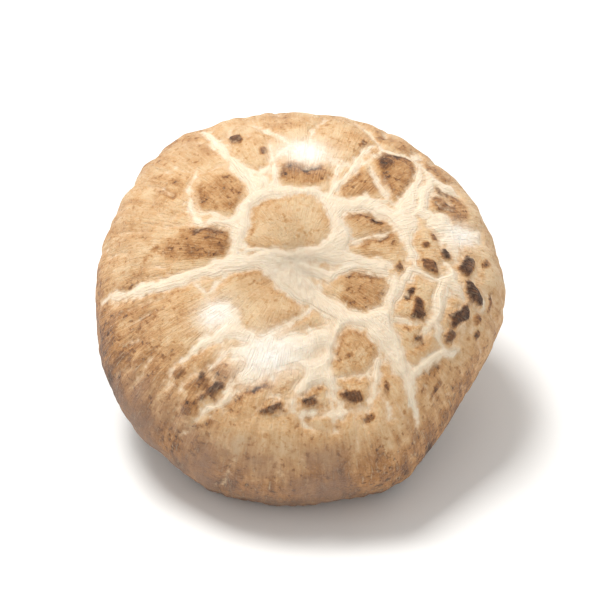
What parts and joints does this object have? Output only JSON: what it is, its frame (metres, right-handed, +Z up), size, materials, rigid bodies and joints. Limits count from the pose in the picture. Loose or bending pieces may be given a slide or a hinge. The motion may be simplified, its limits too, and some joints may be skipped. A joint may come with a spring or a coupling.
{
  "type": "shiitake mushroom",
  "caption": "Picked shiitake mushroom with a thick domed cap, split skin, rolled rim, gills and a cut stem, lying on its stem end and rim.",
  "frame": {"origin": "middle of the stem's flat cut end, on the surface that the mushroom rests on", "axes": "+Z up from that surface, the cap leans 27 degrees towards -Y and its rim meets the surface there, +X to the right seen from the front"},
  "size_m": [0.0621, 0.0591, 0.0413],
  "materials": {
    "cap_skin": "matt suede-like skin, split into plates",
    "pale_flesh": "matt cream flesh of the gills and stem"
  },
  "bodies": {
    "root": {"shiitake": "cap_skin"}
  },
  "joints": []
}
